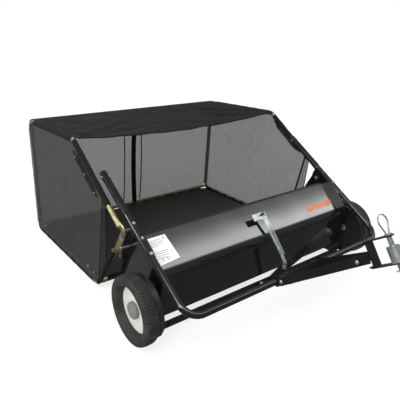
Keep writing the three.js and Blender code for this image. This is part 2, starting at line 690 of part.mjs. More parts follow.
function addDrawbar(root) {
  const drawbar = group(root, [0, ...ARM_LOW]);
  drawbar.rotation.x = -DRAWBAR_PITCH * RAD;
  for (const [side, sign] of SIDES) {
    add(drawbar, `${side}_drawbar_leg`, drawbarLeg(sign), satinBlack);
  }
  const width = 2 * (LEG_REAR_X - 18);
  const gusset = strip([[-34, 14], [-34, -20], [-52, -20]], 3);
  add(drawbar, 'drawbar_gusset', alongX(gusset, width, -width / 2), satinBlack);

  const jaw = strip([
    [HITCH_Y + 20, STRAP_TOP + 1], [HITCH_Y, STRAP_TOP + 1],
    [HITCH_Y, STRAP_LOW - 1], [HITCH_Y + 20, STRAP_LOW - 1],
  ], 5);
  const hitch = join(alongX(jaw, 38, -19), strapPlate(STRAP_TOP), strapPlate(STRAP_LOW - STRAP));
  add(drawbar, 'hitch_bracket', hitch, satinBlack);

  const inner = HITCH_PIN_RADIUS + GAP;
  const spacer = ringProfile(inner, SPACER_RADIUS, STRAP_LOW + GAP, STRAP_LOW + SPACER_HEIGHT);
  const sleeve = new THREE.LatheGeometry(spacer.map(([r, a]) => new THREE.Vector2(r, a)), 20);
  add(drawbar, 'hitch_spacer', sleeve.rotateX(Math.PI / 2), zinc, [0, HITCH_PIN_Y, 0]);
  add(drawbar, 'hitch_pin', hitchPin(), zinc, [0, HITCH_PIN_Y, 0]);
  add(drawbar, 'hitch_hairpin', hairpin(), zinc, [0, HITCH_PIN_Y, 0]);
}

// ---- assembly -----------------------------------------------------------------------------

const sweeper = new THREE.Group();
sweeper.position.y = -MIDDLE_Y;        // the origin is on the ground, under the middle of the whole machine
addSidePlates(sweeper);
addHood(sweeper);
addAxles(sweeper);
addPushTube(sweeper);
addUpperArms(sweeper);
addAdjuster(sweeper);
addLever(sweeper);
for (const [side, sign] of SIDES) addWheel(sweeper, side, sign);
addBrush(sweeper);
addHopperFrame(sweeper);
addHopperBrackets(sweeper);
addDumpPins(sweeper);
addHopperFabric(sweeper);
addDrawbar(sweeper);

export default sweeper;
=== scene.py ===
"""Looks of a tow-behind lawn sweeper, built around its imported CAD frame.

Lengths are in millimetres in the axle frame (origin on the ground under the axle, X along the axle, +Y to
the hopper, +Z up) until at() turns them into metres in the row frame.
"""

import json
import math

import bpy
import numpy as np
from mathutils import Matrix, Vector


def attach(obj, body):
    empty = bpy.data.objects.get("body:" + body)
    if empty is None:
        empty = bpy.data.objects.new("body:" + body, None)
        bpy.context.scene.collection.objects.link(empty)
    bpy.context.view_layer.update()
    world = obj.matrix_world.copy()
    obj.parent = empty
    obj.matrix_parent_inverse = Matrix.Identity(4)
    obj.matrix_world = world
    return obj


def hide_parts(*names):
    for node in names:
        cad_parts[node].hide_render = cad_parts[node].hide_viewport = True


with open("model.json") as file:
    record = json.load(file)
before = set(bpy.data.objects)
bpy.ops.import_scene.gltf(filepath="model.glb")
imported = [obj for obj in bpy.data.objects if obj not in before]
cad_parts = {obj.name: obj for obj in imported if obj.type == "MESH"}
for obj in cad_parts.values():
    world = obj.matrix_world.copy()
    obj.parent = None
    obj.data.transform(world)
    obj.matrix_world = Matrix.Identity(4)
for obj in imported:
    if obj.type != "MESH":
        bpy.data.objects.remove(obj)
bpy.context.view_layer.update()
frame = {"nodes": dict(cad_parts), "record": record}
rng = np.random.default_rng(11)

MIDDLE_Y = 243.2
SIDES = (("left", -1), ("right", 1))

WHEEL_X, WHEEL_RADIUS, TYRE_WIDTH, RIM_RADIUS, TREAD_HALF = 596, 127, 52, 86, 21.5
PANEL_LIP = (-8, 58)
BRUSH_AXIS = (94.31, 133)
BRUSH_RADIUS, BRUSH_ROWS, BRUSH_LENGTH, INNER_X = 108, 6, 238, 506
HOOD_REAR, HOOD_SHOULDER, HOOD_SEAM, PANEL_FOOT = (104, 346), (-28, 236), (-22, 164), (-17, 97)
ARM_LOW, ARM_TOP, ARM_X, TUBE_RADIUS = (-207, 177), (347, 509), 521.8, 12.5
SLEEVE_LENGTH, SOCKET_DEPTH = 210, 45
DUMP_PIVOT, FLOOR_FRONT, FLOOR_REAR = (148, 351), (372, 26), (1068, 13)
TOP_FRONT, TOP_REAR = (524, 598), (1036, 576)
REAR_TOP, REAR_LOW = (TOP_REAR[0] - 9, TOP_REAR[1] - 9), (FLOOR_REAR[0] - 9, FLOOR_REAR[1] + 9)
SKIRT_TOP, SEAM_TOP, SEAM_LOW, SKIRT_LOW = (250, 419), (270, 432), (352, 28), (267, 178)
HOPPER_X, HOPPER_TUBE, WRAP_RADIUS = 554, 9.5, 13.5
LEVER_PIVOT, LEVER_LEAN, LEVER_X, LEVER_LENGTH, GRIP_LENGTH = (-109, 137), 37, 37, 168, 122


# ---- mesh helpers ----

def at(points):
    points = np.asarray(points, float).reshape(-1, 3)
    return (points - [0, MIDDLE_Y, 0]) / 1000


def linked(name, data):
    thing = bpy.data.objects.new(name, data)
    bpy.context.scene.collection.objects.link(thing)
    return thing


def made(name, points, faces, material, body, replaces=(), slot=None, crease=38, thickness=0.0):
    """A new piece from millimetre points. It rides on a body and may stand for CAD nodes."""
    mesh = bpy.data.meshes.new(name)
    mesh.from_pydata(at(points).tolist(), [], [tuple(int(i) for i in f) for f in faces])
    mesh.polygons.foreach_set("use_smooth", [True] * len(mesh.polygons))
    mesh.set_sharp_from_angle(angle=math.radians(crease))
    mesh.materials.append(material)
    mesh.update()
    piece = linked(name, mesh)
    if thickness:
        solid = piece.modifiers.new("cloth", "SOLIDIFY")
        solid.thickness, solid.offset = thickness / 1000, 0
    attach(piece, body)
    if replaces:
        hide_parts(*replaces)
    return piece


class Shape:
    """Collects points and faces of several closed bodies for one piece."""

    def __init__(self):
        self.points, self.faces = [], []

    def add(self, points, faces):
        base = len(self.points)
        self.points.extend(np.asarray(points, float).reshape(-1, 3).tolist())
        self.faces.extend([tuple(i + base for i in f) for f in faces])
        return self

    def piece(self, name, material, body, **more):
        return made(name, self.points, self.faces, material, body, **more)


def grid_faces(rows, columns, close_rows=False, close_columns=False):
    faces = []
    for i in range(rows if close_rows else rows - 1):
        for j in range(columns if close_columns else columns - 1):
            a, b = i * columns + j, i * columns + (j + 1) % columns
            c, d = (i + 1) % rows * columns + (j + 1) % columns, (i + 1) % rows * columns + j
            faces.append((a, b, c, d))
    return faces


def directions(path):
    """Unit vectors along a path, one for each of its points."""
    run = np.gradient(np.asarray(path, float), axis=0)
    return run / np.linalg.norm(run, axis=1)[:, None]


def end_caps(count, total):
    """The faces that close a tube made of rings with count points each."""
    return [tuple(range(count))[::-1], tuple(range(total - count, total))]


def ring_angles(count):
    return 2 * np.pi * np.arange(count) / count


def swept(path, radius, sides=20, flat=1.0, turn=None, capped=True):
    """A round or flattened tube along a path. radius may be one number or one for each point."""
    path = np.asarray(path, float)
    tangent = directions(path)
    radius = np.broadcast_to(radius, len(path))
    side = np.array([1.0, 0, 0]) if turn is None else np.asarray(turn, float)
    if abs(side @ tangent[0]) > 0.9:
        side = np.array([0, 0, 1.0])
    rings, angles = [], ring_angles(sides)
    for p, t, r in zip(path, tangent, radius):
        side = side - t * (side @ t)
        side /= np.linalg.norm(side)
        other = np.cross(t, side)
        rings.append(p + r * (np.cos(angles)[:, None] * side * flat + np.sin(angles)[:, None] * other))
    points = np.vstack(rings)
    faces = grid_faces(len(path), sides, close_columns=True)
    if capped:
        faces += end_caps(sides, len(points))
    return points, faces


def turned(profile, axis_point, axis=(1, 0, 0), segments=32):
    """A lathe piece: profile is (radius, distance along the axis), starting and ending on the axis."""
    axis = np.asarray(axis, float) / np.linalg.norm(axis)
    side = np.cross(axis, [0, 0, 1.0] if abs(axis[2]) < 0.9 else [0, 1.0, 0])
    side /= np.linalg.norm(side)
    other = np.cross(axis, side)
    angles = ring_angles(segments)
    spokes = np.cos(angles)[:, None] * side + np.sin(angles)[:, None] * other
    start = np.asarray(axis_point, float)
    points, faces, rings = [], [], []
    for radius, along in profile:
        if radius < 1e-6:
            rings.append([len(points)] * segments)
            points.append(start + axis * along)
        else:
            rings.append(list(range(len(points), len(points) + segments)))
            points.extend(start + axis * along + radius * spokes)
    for low, high in zip(rings, rings[1:]):
        for j in range(segments):
            k = (j + 1) % segments
            corners = [low[j], low[k], high[k], high[j]]
            faces.append(tuple(dict.fromkeys(corners)))
    return points, [f for f in faces if len(f) > 2]


def rounded(corners, radius, steps=8):
    """A polyline with its inner corners replaced by arcs."""
    corners = [np.asarray(c, float) for c in corners]
    path = [corners[0]]
    for before, corner, after in zip(corners, corners[1:], corners[2:]):
        back, ahead = before - corner, after - corner
        back, ahead = back / np.linalg.norm(back), ahead / np.linalg.norm(ahead)
        half = math.acos(float(np.clip(back @ ahead, -1, 1))) / 2
        middle = (back + ahead) / np.linalg.norm(back + ahead)
        centre = corner + middle * radius / math.sin(half)
        start = corner + back * radius / math.tan(half) - centre
        side = -middle
        across = start - side * (start @ side)
        across /= np.linalg.norm(across)
        sweep = math.pi / 2 - half
        for k in range(steps + 1):
            angle = sweep * (1 - 2 * k / steps)
            path.append(centre + radius * (side * math.cos(angle) + across * math.sin(angle)))
    path.append(corners[-1])
    return np.array(path)


def resampled(path, step):
    path = np.asarray(path, float)
    along = np.concatenate([[0], np.cumsum(np.linalg.norm(np.diff(path, axis=0), axis=1))])
    places = np.linspace(0, along[-1], max(2, int(along[-1] / step) + 1))
    return np.column_stack([np.interp(places, along, path[:, k]) for k in range(path.shape[1])])


def part_of(path, start, end, step=12):
    """The stretch of a path between two distances along it."""
    fine = resampled(path, 2)
    return resampled(fine[int(start / 2): max(int(end / 2), int(start / 2) + 2)], step)


def extruded(outline, x0, x1, rows=2):
    """A (y, z) outline carried along X, as a closed body."""
    outline = np.asarray(outline, float)
    n = len(outline)
    xs = np.linspace(x0, x1, rows)
    points = np.vstack([np.column_stack([np.full(n, x), outline]) for x in xs])
    return points, grid_faces(rows, n, close_columns=True) + end_caps(n, n * rows)


def ahead_of(start, direction, distance, sideways=0.0):
    a, b = direction
    return (start[0] + a * distance - b * sideways, start[1] + b * distance + a * sideways)


def unit(start, end):
    length = math.dist(start, end)
    return ((end[0] - start[0]) / length, (end[1] - start[1]) / length)


ARM = unit(ARM_LOW, ARM_TOP)
ARM_LENGTH = math.dist(ARM_TOP, ARM_LOW)
SLANT = unit(DUMP_PIVOT, TOP_FRONT)
BRACKET = unit(DUMP_PIVOT, FLOOR_FRONT)


# ---- materials ----

class Finish:
    """One procedural material. Patterns lie in the piece's own coordinates, in metres."""

    def __init__(self, name, **sockets):
        self.material = bpy.data.materials.new(name)
        self.material.use_nodes = True
        self.tree = self.material.node_tree
        self.shader = next(n for n in self.tree.nodes if n.type == "BSDF_PRINCIPLED")
        for key, value in sockets.items():
            self.shader.inputs[key.replace("_", " ")].default_value = value
        self.coords = self.tree.nodes.new("ShaderNodeTexCoord").outputs["Object"]

    def node(self, kind, inputs, output=0, **settings):
        node = self.tree.nodes.new(kind)
        for key, value in settings.items():
            setattr(node, key, value)
        for key, value in inputs.items():
            if isinstance(value, bpy.types.NodeSocket):
                self.tree.links.new(value, node.inputs[key])
            else:
                node.inputs[key].default_value = value
        return node.outputs[output]

    def noise(self, scale, detail=3.0, stretch=(1, 1, 1), rough=0.5):
        place = self.node("ShaderNodeMapping", {"Vector": self.coords, "Scale": stretch})
        return self.node("ShaderNodeTexNoise", {"Vector": place, "Scale": scale, "Detail": detail,
                                                "Roughness": rough})

    def spread(self, value, low, high, to_low, to_high):
        return self.node("ShaderNodeMapRange", {"Value": value, "From Min": low, "From Max": high,
                                                "To Min": to_low, "To Max": to_high})

    def math(self, operation, a, b=0.0):
        return self.node("ShaderNodeMath", {0: a, 1: b}, operation=operation)

    def colour(self, share, first, second):
        return self.node("ShaderNodeMix", {0: share, 6: (*first, 1), 7: (*second, 1)}, 2, data_type="RGBA")

    def relief(self, height, strength, distance):
        return self.node("ShaderNodeBump", {"Height": height, "Strength": strength, "Distance": distance})

    def weave(self, axes, pitch):
        """1 on the threads and 0 in the middle of the holes of a plain weave."""
        parts = self.node("ShaderNodeSeparateXYZ", {0: self.coords}).node
        waves = []
        for axis in axes:
            turn = self.math("MULTIPLY", parts.outputs[axis], math.pi / pitch)
            waves.append(self.math("ABSOLUTE", self.math("SINE", turn)))
        return self.math("SUBTRACT", 1.0, self.math("MULTIPLY", *waves))

    def drive(self, **sockets):
        for key, value in sockets.items():
            self.tree.links.new(value, self.shader.inputs[key.replace("_", " ")])
        return self.material


def metal_paint(name, dark, light, rough, coat, peel):
    """Powder coat: slightly uneven gloss, fine orange peel, and lighter worn edges."""
    f = Finish(name, Coat_Weight=coat, Coat_Roughness=0.05, Specular_IOR_Level=0.3)
    patches, fine = f.noise(9, 4), f.noise(240, 2)
    edge = f.node("ShaderNodeNewGeometry", {}, "Pointiness")
    worn = f.math("MULTIPLY", f.spread(edge, 0.53, 0.6, 0, 1), f.spread(fine, 0.45, 0.6, 0, 1))
    shade = f.math("MAXIMUM", f.spread(patches, 0.35, 0.7, 0, 0.5), worn)
    return f.drive(Base_Color=f.colour(shade, dark, light),
                   Roughness=f.spread(patches, 0.3, 0.7, rough[0], rough[1]),
                   Normal=f.relief(fine, peel, 0.0006))


def plated(name, first, second, rough, scale=38):
    f = Finish(name, Metallic=0.92)
    spots, scratches = f.noise(scale, 4), f.noise(300, 2, (1, 0.15, 1))
    return f.drive(Base_Color=f.colour(f.spread(spots, 0.35, 0.65, 0, 1), first, second),
                   Roughness=f.spread(f.noise(55, 3), 0.3, 0.7, rough[0], rough[1]),
                   Normal=f.relief(scratches, 0.12, 0.0004))


def plastic(name, first, second, rough, bump=0.15, scale=60):
    f = Finish(name)
    spots, grain = f.noise(scale, 4), f.noise(900, 2)
    return f.drive(Base_Color=f.colour(f.spread(spots, 0.35, 0.7, 0, 1), first, second),
                   Roughness=f.spread(f.noise(30, 3), 0.3, 0.7, rough[0], rough[1]),
                   Normal=f.relief(grain, bump, 0.0004))


def cloth(name, axes, first, second, pitch, open_share=None, rough=(0.7, 0.9)):
    """Woven polyester. open_share is the (thread, hole) opacity of a see-through mesh."""
    f = Finish(name, Sheen_Weight=0.015, Sheen_Roughness=0.5, Specular_IOR_Level=0.08)
    threads, patches = f.weave(axes, pitch), f.noise(14, 4)
    shade = f.math("MULTIPLY", f.spread(threads, 0.2, 1, 0.25, 1), f.spread(patches, 0.3, 0.7, 0.6, 1))
    sockets = {"Base_Color": f.colour(shade, first, second),
               "Roughness": f.spread(patches, 0.3, 0.7, rough[0], rough[1]),
               "Normal": f.relief(threads, 0.35, 0.0005)}
    if open_share:
        sockets["Alpha"] = f.spread(threads, 0.15, 0.75, open_share[1], open_share[0])
    return f.drive(**sockets)


def grey(value, blue=None):
    return (value, value, value if blue is None else blue)


FINE_WEAVE, OPEN_WEAVE, WEB_WEAVE = 0.0014, 0.0022, 0.0016
MESH_OPEN, SKIRT_OPEN = (0.985, 0.53), (0.99, 0.6)

GLOSS = metal_paint("gloss_black_paint", (0.006, 0.0062, 0.006), (0.012, 0.0125, 0.012), (0.10, 0.16), 0.8,
                    0.03)
SATIN = metal_paint("satin_black_paint", grey(0.008), grey(0.015), (0.24, 0.34), 0.0, 0.12)
ZINC = plated("clear_zinc", (0.42, 0.47, 0.455), (0.62, 0.67, 0.655), (0.3, 0.46))
GOLD = plated("yellow_zinc", (0.42, 0.35, 0.15), (0.60, 0.53, 0.31), (0.3, 0.46))
RUBBER = plastic("tyre_rubber", grey(0.020, 0.019), grey(0.042, 0.040), (0.6, 0.85), 0.3, 25)
RIM = plastic("off_white_rim", (0.70, 0.71, 0.62), (0.82, 0.83, 0.76), (0.42, 0.6), 0.1, 18)
HUB = plastic("grey_hub", grey(0.17, 0.155), grey(0.24, 0.22), (0.45, 0.6))
BLACK = plastic("black_plastic", grey(0.010), grey(0.022), (0.38, 0.55), 0.25)
BRISTLE = plastic("bristle_filament", grey(0.012, 0.010), grey(0.04, 0.034), (0.5, 0.8), 0.3, 120)
LABEL = plastic("label_film", (0.93, 0.94, 0.93), grey(0.98), (0.3, 0.4), 0.02)
PRINT = plastic("label_print", (0.10, 0.11, 0.11), (0.17, 0.18, 0.18), (0.35, 0.45), 0.02)
ORANGE = plastic("orange_print", (0.72, 0.16, 0.035), (0.80, 0.21, 0.06), (0.3, 0.4), 0.02)
SIDE_MESH = cloth("side_mesh_cloth", "YZ", grey(0.020, 0.0195), grey(0.062, 0.060), OPEN_WEAVE, MESH_OPEN)
REAR_MESH = cloth("rear_mesh_cloth", "XZ", grey(0.014, 0.0135), grey(0.044, 0.043), OPEN_WEAVE, MESH_OPEN)
SKIRT_MESH = cloth("skirt_mesh_cloth", "YZ", grey(0.010), grey(0.034, 0.033), OPEN_WEAVE, SKIRT_OPEN)
COVER_CLOTH = cloth("cover_cloth", "XY", grey(0.004), grey(0.015, 0.0145), FINE_WEAVE)
FLOOR_CLOTH = cloth("floor_cloth", "XY", grey(0.040, 0.038), grey(0.085, 0.082), FINE_WEAVE, None,
                    (0.45, 0.6))
SKIRT_CLOTH = cloth("skirt_cloth", "YZ", grey(0.006), grey(0.022, 0.021), FINE_WEAVE)
# Painted light: the rear sleeves get a light grey, far above the dark sleeve cloth. It makes them read like
# the mesh with the white backdrop showing through, though they sit in the hopper's shade.
REAR_SLEEVE_PAINTED_LIGHT = cloth("rear_sleeve_painted_light", "XZ", grey(0.13, 0.128), grey(0.20, 0.198), OPEN_WEAVE)
WEB_CLOTH = cloth("webbing", "XZ", grey(0.004), grey(0.016), WEB_WEAVE)

SLOT_FINISH = {"gloss_black": GLOSS, "satin_black": SATIN, "zinc": ZINC, "yellow_zinc": GOLD, "tyre": RUBBER,
               "rim": RIM, "grey_plastic": HUB, "black_plastic": BLACK, "bristle": BRISTLE,
               "mesh": REAR_MESH, "cloth": COVER_CLOTH}


# ---- CAD nodes that stay: softened edges and real finishes ----

def softening():
    """Merges the imported faces, so that curves shade smoothly and edges stay crisp."""
    tree = bpy.data.node_groups.new("soften", "GeometryNodeTree")
    tree.interface.new_socket("Geometry", in_out="INPUT", socket_type="NodeSocketGeometry")
    tree.interface.new_socket("Geometry", in_out="OUTPUT", socket_type="NodeSocketGeometry")
    new = tree.nodes.new
    start, end = new("NodeGroupInput"), new("NodeGroupOutput")
    merge, smooth = new("GeometryNodeMergeByDistance"), new("GeometryNodeSetShadeSmooth")
    merge.inputs["Distance"].default_value = 0.00002
    smooth.domain = "FACE"
    angle, sharp = new("GeometryNodeInputMeshEdgeAngle"), new("GeometryNodeSetShadeSmooth")
    sharp.domain = "EDGE"
    sharp.inputs["Shade Smooth"].default_value = False
    steep = new("FunctionNodeCompare")
    steep.operation = "GREATER_THAN"
    steep.inputs[1].default_value = math.radians(32)
    for a, b in ((start.outputs[0], merge.inputs["Geometry"]), (merge.outputs[0], smooth.inputs["Geometry"]),
                 (smooth.outputs[0], sharp.inputs["Geometry"]), (angle.outputs[0], steep.inputs[0]),
                 (steep.outputs[0], sharp.inputs["Selection"]), (sharp.outputs[0], end.inputs[0])):
        tree.links.new(a, b)
    return tree


def dress_cad():
    tree = softening()
    slots = {s["node"]: s["material_slot"] for s in frame["record"]["subparts"]}
    for name, node in frame["nodes"].items():
        node.data.materials.clear()
        node.data.materials.append(SLOT_FINISH[slots[name]])
        with bpy.context.temp_override(object=node, active_object=node):
            if node.data.has_custom_normals:
                bpy.ops.mesh.customdata_custom_splitnormals_clear()
        soft = node.modifiers.new("soften", "NODES")
        soft.node_group = tree
        bevel = node.modifiers.new("edges", "BEVEL")
        bevel.width, bevel.segments, bevel.limit_method = 0.0005, 2, "ANGLE"
        bevel.angle_limit = math.radians(40)
        bevel.use_clamp_overlap = True


# ---- housing ----

def sheet_metal(name, line, thickness, node):
    """A bent sheet across the machine, with the slight unevenness of pressed steel."""
    line = resampled(line, 6)
    tangent = directions(line)
    inward = np.column_stack([-tangent[:, 1], tangent[:, 0]])
    loop = np.vstack([line, (line + inward * thickness)[::-1]])
    half = INNER_X - 0.4
    points, faces = extruded(loop, -half, half, rows=90)
    x, y, z = points.T
    push = 0.35 * np.sin(x / 83 + z / 60) * np.sin(z / 47 + 1.3) + 0.2 * np.sin(x / 31 + y / 40)
    fade = np.clip((half - np.abs(x)) / 60, 0, 1)
    points = points + np.column_stack([0 * x, push * fade, 0.6 * push * fade])
    return made(name, points, faces, GLOSS, "sweeper", (node,), "gloss_black", crease=50)


def build_housing():
    hem = (HOOD_REAR[0] + 9, HOOD_REAR[1] - 11)
    sheet_metal("hood_shell", rounded_bends([hem, HOOD_REAR, HOOD_SHOULDER, HOOD_SEAM], (4, 45)), 2, "hood")
    top = (HOOD_SEAM[0] + 1.6, HOOD_SEAM[1] + 14)
    line = [top, (PANEL_FOOT[0] + 2.6, PANEL_FOOT[1]), PANEL_LIP]
    sheet_metal("front_panel_shell", rounded_bends(line, (6,)), 2, "front_panel")
    lip = [(x, HOOD_REAR[0] + 9, HOOD_REAR[1] - 8) for x in (2 - INNER_X, INNER_X - 2)]
    made("hood_hem", *swept(lip, 2.2, 10), GLOSS, "sweeper", slot="gloss_black")


def rounded_bends(corners, radii):
    """A bent line in (y, z) with its own radius at each bend."""
    path = [np.asarray(corners[0], float)]
    for i, radius in enumerate(radii, 1):
        bend = rounded([(*corners[i - 1], 0), (*corners[i], 0), (*corners[i + 1], 0)], radius, 10)[1:-1, :2]
        path.extend(bend)
    path.append(np.asarray(corners[-1], float))
    return np.array(path)


def hood_plane(x, along, lift=0.25):
    """A point on the hood's flat upper face: along is measured up from the shoulder corner."""
    d = unit(HOOD_SHOULDER, HOOD_REAR)
    y, z = ahead_of(HOOD_SHOULDER, d, along, lift)
    return (x, y, z)


def hood_sticker(name, corners, material, lift):
    """A thin film over a four-sided region of the hood, given as (x, along) corners."""
    corners = [np.asarray(c, float) for c in corners]
    shape, n = Shape(), 8
    for level in (lift, lift + 0.25):
        for i in range(n):
            for j in range(n):
                u, v = i / (n - 1), j / (n - 1)
                near = (1 - v) * corners[0] + v * corners[3]
                p = (1 - u) * near + u * ((1 - v) * corners[1] + v * corners[2])
                shape.points.append(hood_plane(p[0], p[1], level))
    low = grid_faces(n, n)
    shape.faces += [f[::-1] for f in low] + [tuple(i + n * n for i in f) for f in low]
    rim = [i for i in range(n)] + [n - 1 + n * i for i in range(1, n)] + \
          [n * n - 1 - i for i in range(1, n)] + [n * (n - 1) - n * i for i in range(1, n - 1)]
    for a, b in zip(rim, rim[1:] + rim[:1]):
        shape.faces.append((a, b, b + n * n, a + n * n))
    return shape.piece(name, material, "sweeper")


def build_stickers():
    hood_sticker("hood_label", [(-495, 38), (-402, 46), (-418, 146), (-497, 146)], LABEL, 0.5)
    marks = Shape()
    widths = (0.62, 0.7, 0.66, 0.4, 0.72, 0.68, 0.7, 0.5)
    for row, width in enumerate(widths):
        along = 134 - row * 7.2 if row < 4 else 122 - row * 8.2
        left, right = -488, -488 + 74 * width
        for level in (0.75, 0.95):
            base = len(marks.points)
            for x, s in ((left, along), (right, along), (right, along - 1.6), (left, along - 1.6)):
                marks.points.append(hood_plane(x, s, level))
        low = base - 4
        marks.faces += [(low + 3, low + 2, low + 1, low), (base, base + 1, base + 2, base + 3)]
        marks.faces += [(low + i, low + (i + 1) % 4, base + (i + 1) % 4, base + i) for i in range(4)]
    d = unit(HOOD_SHOULDER, HOOD_REAR)
    normal = (0, -d[1], d[0])
    for x, along, radius in ((-432, 134, 5.5), (-446, 58, 6.5), (-470, 56, 5.5)):
        spot = hood_plane(x, along, 0.7)
        inner = radius - 1.6
        ring = [(inner, 0), (radius, 0), (radius, 0.3), (inner, 0.3), (inner, 0)]
        marks.add(*turned(ring, spot, normal, 20))
    marks.piece("hood_label_marks", PRINT, "sweeper")
    for i in range(3):
        left = 300 + i * 58
        bar = [(left - 4, 52), (left + 42, 52), (left + 54, 76), (left + 8, 76)]
        hood_sticker(f"orange_flash_{i + 1}", bar, ORANGE, 0.5)


def build_push_tube():
    end = ahead_of(ARM_LOW, ARM, ARM_LENGTH - SLEEVE_LENGTH + SOCKET_DEPTH - 1)
    corners = [(-ARM_X, *end), (-ARM_X, *ARM_LOW), (ARM_X, *ARM_LOW), (ARM_X, *end)]
    path = resampled(rounded(corners, 62, 16), 9)
    made("push_tube_bend", *swept(path, TUBE_RADIUS, 28), GLOSS, "sweeper", ("push_tube",), "gloss_black")


def bolt_parts(shape, spot, axis, radius=8, length=5, nut=False):
    """A dome head on a washer, or a hexagon nut with a thread end."""
    washer = [(0, 0), (radius * 1.15, 0), (radius * 1.15, 1.2), (0, 1.2)]
    shape.add(*turned(washer, spot, axis, 20))
    if nut:
        shape.add(*turned([(0, 1.2), (radius * 0.95, 1.2), (radius, 2), (radius, length + 0.8),
                           (radius * 0.9, length + 1.6), (0, length + 1.6)], spot, axis, 6))
        shape.add(*turned([(0, length), (radius * 0.5, length), (radius * 0.5, length + 4),
                           (radius * 0.35, length + 5), (0, length + 5)], spot, axis, 14))
        return
    dome = [(radius * math.cos(a), 1.2 + length * 0.8 * math.sin(a)) for a in np.linspace(0, math.pi / 2, 7)]
    shape.add(*turned([(0, 1.2), *dome[:-1], (0, dome[-1][1])], spot, axis, 20))


def build_bolts():
    for side, sign in SIDES:
        bolts = Shape()
        for station in (256, 321, 388):
            y, z = ahead_of(ARM_LOW, ARM, station, TUBE_RADIUS - 0.6)
            bolt_parts(bolts, (sign * ARM_X, y, z), (0, -ARM[1], ARM[0]), 5.5, 5)
        bolts.piece(f"{side}_arm_bolts", ZINC, "sweeper", slot="zinc")
    plate = Shape()
    for x in (-8, 52):
        bolt_parts(plate, (x, -28.2, 32), (0, -1, 0), 7, 5)
    plate.piece("adjuster_bolts", ZINC, "sweeper", slot="zinc")
    ends = Shape()
    for sign in (-1, 1):
        for x in (-470, -300, 300, 470):
            bolt_parts(ends, (x, -22.2, 28), (0, -1, 0), 4.5, 3)
    ends.piece("rail_rivets", SATIN, "sweeper", slot="satin_black")


def drawbar_place(points):
    """Drawbar axes to the axle frame."""
    pitch = math.radians(35)
    c, s = math.cos(pitch), math.sin(pitch)
    return [(x, ARM_LOW[0] + y * c + z * s, ARM_LOW[1] - y * s + z * c) for x, y, z in points]


def build_drawbar_bolts():
    shape = Shape()
    for side, sign in SIDES:
        for x, y in ((sign * (125 + 3.2), -24), (sign * (38 + 3.2), -300)):
            spot = drawbar_place([(x, y, -5)])[0]
            bolt_parts(shape, spot, (sign, 0, 0), 7, 5)
    shape.piece("drawbar_bolts", ZINC, "drawbar", slot="zinc")


def build_grip():
    """A flattened hand grip with five finger ribs, on the end of the lever."""
    lean = math.radians(LEVER_LEAN)
    c, s = math.cos(lean), math.sin(lean)
    base = LEVER_LENGTH + 0.3
    along = np.linspace(0, GRIP_LENGTH, 90)
    ribs = sum(np.exp(-((along - centre) / 3.0) ** 2) for centre in (38, 53, 68, 83, 98))
    ends = np.sqrt(np.clip(1 - np.clip((along - GRIP_LENGTH + 10) / 10, 0, 0.995) ** 2, 0, 1))
    width = (15.5 + 2.2 * ribs) * ends * (1 - 0.12 * np.clip(1 - along / 30, 0, 1))
    path = [(LEVER_X + 3, LEVER_PIVOT[0] - (base + a) * s, LEVER_PIVOT[1] + (base + a) * c) for a in along]
    made("ribbed_grip", *swept(path, width, 28, flat=0.72, turn=(1, 0, 0)), BLACK, "height_lever",
         ("lever_grip",), "black_plastic")
    rivets = Shape()
    for a in (16, 60, 120):
        spot = (LEVER_X + 5.3, LEVER_PIVOT[0] - a * s, LEVER_PIVOT[1] + a * c)
        bolt_parts(rivets, spot, (1, 0, 0), 4.5, 2.5)
    rivets.piece("lever_rivets", SATIN, "height_lever", slot="satin_black")


# ---- wheels ----

def tyre_points(sign):
    """A tyre with a ribbed block tread: grooves round it, and slots across each rib."""
    half = TYRE_WIDTH / 2
    rim = RIM_RADIUS
    arc = [(rim + 0.5, -20), (rim + 8, -23), (98, -24.5), (104, -half), (112, -half), (118, -half + 0.6),
           (122, -half + 2.4)]
    outer = [(122, half - 2.4), (118, half - 0.6), (112, half), (104, half), (98, half - 1), (rim + 9, 22.5),
             (rim + 6, 20), (rim + 4.5, 14), (rim + 2, 4), (rim + 0.5, -2.2)]
    tread_x = np.linspace(-TREAD_HALF, TREAD_HALF, 34)
    crown = WHEEL_RADIUS - 3.2 * (tread_x / TREAD_HALF) ** 4 - 0.5
    section = np.array(arc + list(zip(crown, tread_x)) + outer)
    blocks, fine = 60, 6
    turns = blocks * fine
    radius, across = section.T
    place = np.arange(len(section))
    on_tread = (place >= len(arc)) & (place < len(arc) + len(tread_x))
    lane = (across + TREAD_HALF) / 43.1 * 5
    rib = np.floor(lane).astype(int)
    groove = on_tread & (np.abs(lane - np.round(lane)) < 0.1) & (np.abs(across) < 20)
    shoulder = (radius > 106) & ~on_tread
    rings = []
    for k in range(turns):
        shift = (rib % 2) * (fine // 2)
        slotted = on_tread & ((k + shift) % fine == 0) & ~groove
        ribbed = shoulder & (k % fine < 2)
        r = radius - 3.4 * groove - 2.8 * slotted
        x = across - np.sign(across) * np.where(ribbed, 1.3, 0)
        angle = 2 * np.pi * k / turns
        rings.append(np.column_stack([sign * (WHEEL_X + x), r * np.cos(angle),
                                      WHEEL_RADIUS + r * np.sin(angle)]))
    return np.vstack(rings), grid_faces(turns, len(section), close_rows=True, close_columns=True)


def build_wheels():
    for side, sign in SIDES:
        made(f"{side}_treaded_tyre", *tyre_points(sign), RUBBER, f"{side}_wheel", (f"{side}_tyre",), "tyre",
             crease=30)


# ---- brush ----

